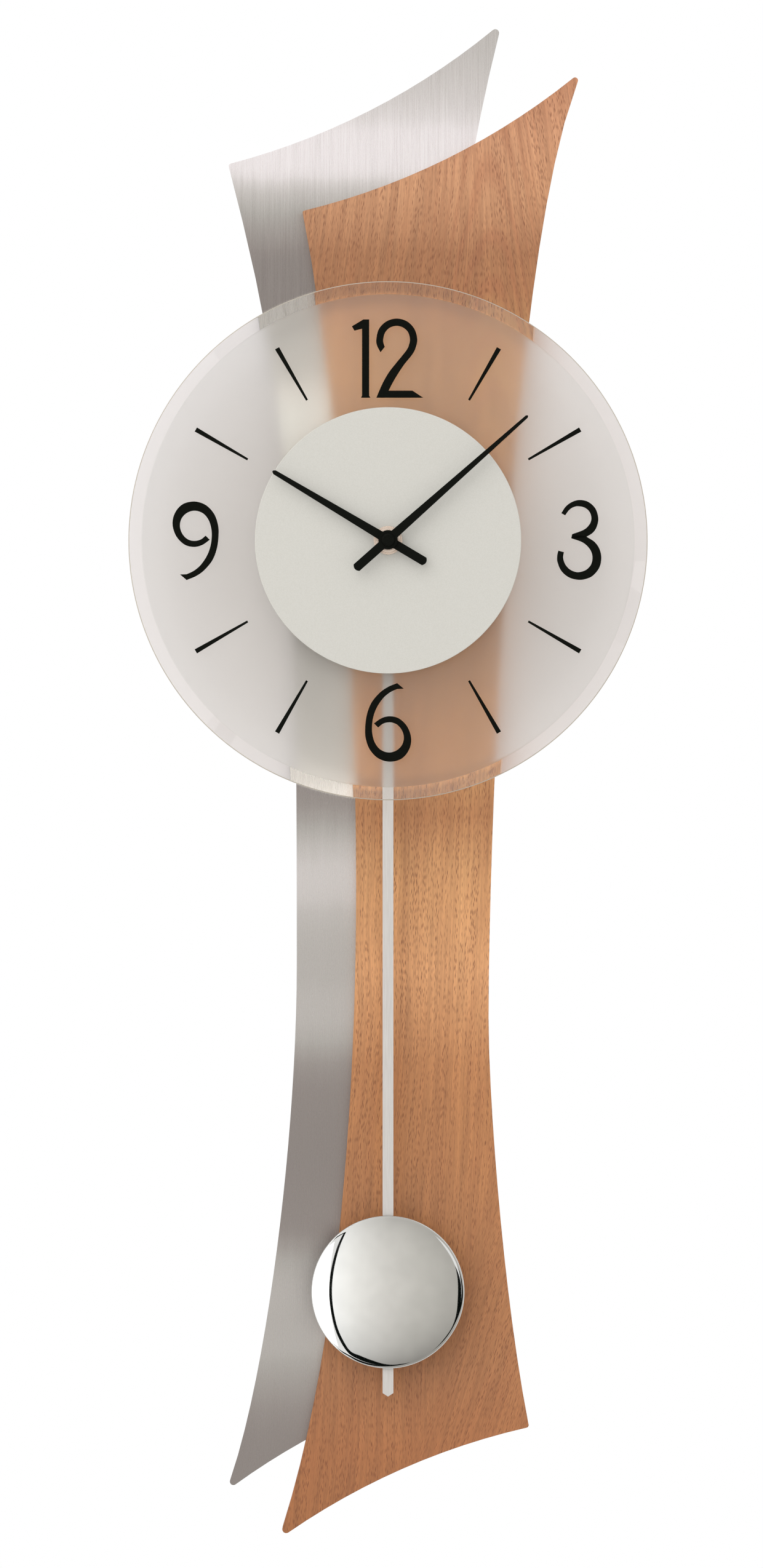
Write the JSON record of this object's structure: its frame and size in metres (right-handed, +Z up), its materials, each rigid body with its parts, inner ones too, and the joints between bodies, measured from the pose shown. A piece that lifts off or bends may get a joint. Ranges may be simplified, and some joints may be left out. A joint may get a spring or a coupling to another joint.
{
  "type": "pendulum wall clock",
  "caption": "Battery wall clock with curved beech and brushed aluminium panels, a round satin glass dial and a chromed pendulum that swings below it.",
  "frame": {"origin": "the wall hook, in the plane of the wall", "axes": "+Z up the wall, +X to the right as seen from the front, +Y into the wall"},
  "size_m": [0.24, 0.0506, 0.7023],
  "materials": {
    "beech": "clear matt lacquer over straight-flecked beech",
    "brushed_aluminium": "brushed along its length",
    "satin_glass": "satin on the back with a clear ground bevel",
    "satin_silver": "fine satin",
    "black_lacquer": "satin black",
    "pale_plate": "pale polished plate",
    "brass": "turned",
    "zinc_steel": "zinc plated",
    "chrome": "mirror polished",
    "black_plastic": "moulded, lightly textured",
    "white_plastic": "moulded",
    "rubber": "plain",
    "circuit_green": "solder mask",
    "copper_wire": "enamelled winding",
    "cell_wrap": "plain printed wrap",
    "silver_lacquer": "light satin"
  },
  "bodies": {
    "clock_frame": {"aluminium_panel": "brushed_aluminium", "wood_panel": "beech", "panel_screw_1": "zinc_steel", "panel_screw_2": "zinc_steel", "panel_screw_3": "zinc_steel", "panel_screw_4": "zinc_steel", "hanger_plate": "zinc_steel", "hanger_screw_1": "zinc_steel", "hanger_screw_2": "zinc_steel", "dial_carrier": "zinc_steel", "carrier_screw_1": "zinc_steel", "carrier_screw_2": "zinc_steel", "carrier_screw_3": "zinc_steel", "carrier_screw_4": "zinc_steel", "dial_washer": "rubber", "dial_glass": "satin_glass", "centre_disc": "satin_silver", "centre_washer": "pale_plate", "centre_nut": "pale_plate", "centre_bush": "brass", "movement_case": "black_plastic", "gear_plate": "white_plastic", "rear_cover": "black_plastic", "case_screw_1": "zinc_steel", "case_screw_2": "zinc_steel", "case_screw_3": "zinc_steel", "battery_contact_plus": "zinc_steel", "battery_contact_minus": "zinc_steel", "drive_motor": "white_plastic", "circuit_board": "circuit_green", "pendulum_pin": "zinc_steel", "pendulum_coil": "copper_wire"},
    "minute_train": {"minute_arbor": "brass", "minute_hand": "black_lacquer", "hand_cap": "black_lacquer"},
    "hour_train": {"hour_wheel": "white_plastic", "hour_hand": "black_lacquer"},
    "motion_train": {"motion_wheel": "white_plastic"},
    "third_train": {"third_wheel": "white_plastic"},
    "motor_train": {"motor_pinion": "brass"},
    "knob": {"setting_knob": "white_plastic"},
    "pendulum": {"pendulum_lever": "white_plastic", "drive_magnet": "zinc_steel", "pendulum_rod": "silver_lacquer"},
    "bob": {"bob_shell": "chrome", "bob_back": "zinc_steel", "bob_clip": "zinc_steel"},
    "cell": {"battery": "cell_wrap"}
  },
  "joints": [
    {"name": "minute_turn", "type": "hinge", "parent": "clock_frame", "child": "minute_train", "pos_m": [0, -0.04, -0.135], "axis": [0, 1, 0], "continuous": true},
    {"name": "hour_turn", "type": "hinge", "parent": "clock_frame", "child": "hour_train", "pos_m": [0, -0.04, -0.135], "axis": [0, 1, 0], "continuous": true},
    {"name": "motion_turn", "type": "hinge", "parent": "clock_frame", "child": "motion_train", "pos_m": [0.0094, -0.026, -0.13842], "axis": [0, 1, 0], "continuous": true},
    {"name": "third_turn", "type": "hinge", "parent": "clock_frame", "child": "third_train", "pos_m": [-0.0097, -0.022, -0.1294], "axis": [0, 1, 0], "continuous": true},
    {"name": "motor_turn", "type": "hinge", "parent": "clock_frame", "child": "motor_train", "pos_m": [-0.01298, -0.022, -0.12038], "axis": [0, 1, 0], "continuous": true},
    {"name": "knob_turn", "type": "hinge", "parent": "clock_frame", "child": "knob", "pos_m": [0.01879, -0.015, -0.14184], "axis": [0, 1, 0], "continuous": true},
    {"name": "pendulum_swing", "type": "hinge", "parent": "clock_frame", "child": "pendulum", "pos_m": [0, -0.024, -0.152], "axis": [0, 1, 0], "range_deg": [-5, 5]},
    {"name": "bob_slide", "type": "slide", "parent": "pendulum", "child": "bob", "axis": [0, 0, 1], "range_m": [-0.008, 0.01]},
    {"name": "cell_slide", "type": "slide", "parent": "clock_frame", "child": "cell", "axis": [0, 1, 0], "range_m": [0, 0.03]}
  ],
  "couplings": [
    {"joint": "hour_turn", "follows": "minute_turn", "ratio": 0.083333},
    {"joint": "motion_turn", "follows": "minute_turn", "ratio": -0.33333},
    {"joint": "third_turn", "follows": "minute_turn", "ratio": -6},
    {"joint": "motor_turn", "follows": "minute_turn", "ratio": 30},
    {"joint": "knob_turn", "follows": "minute_turn", "ratio": 1}
  ]
}
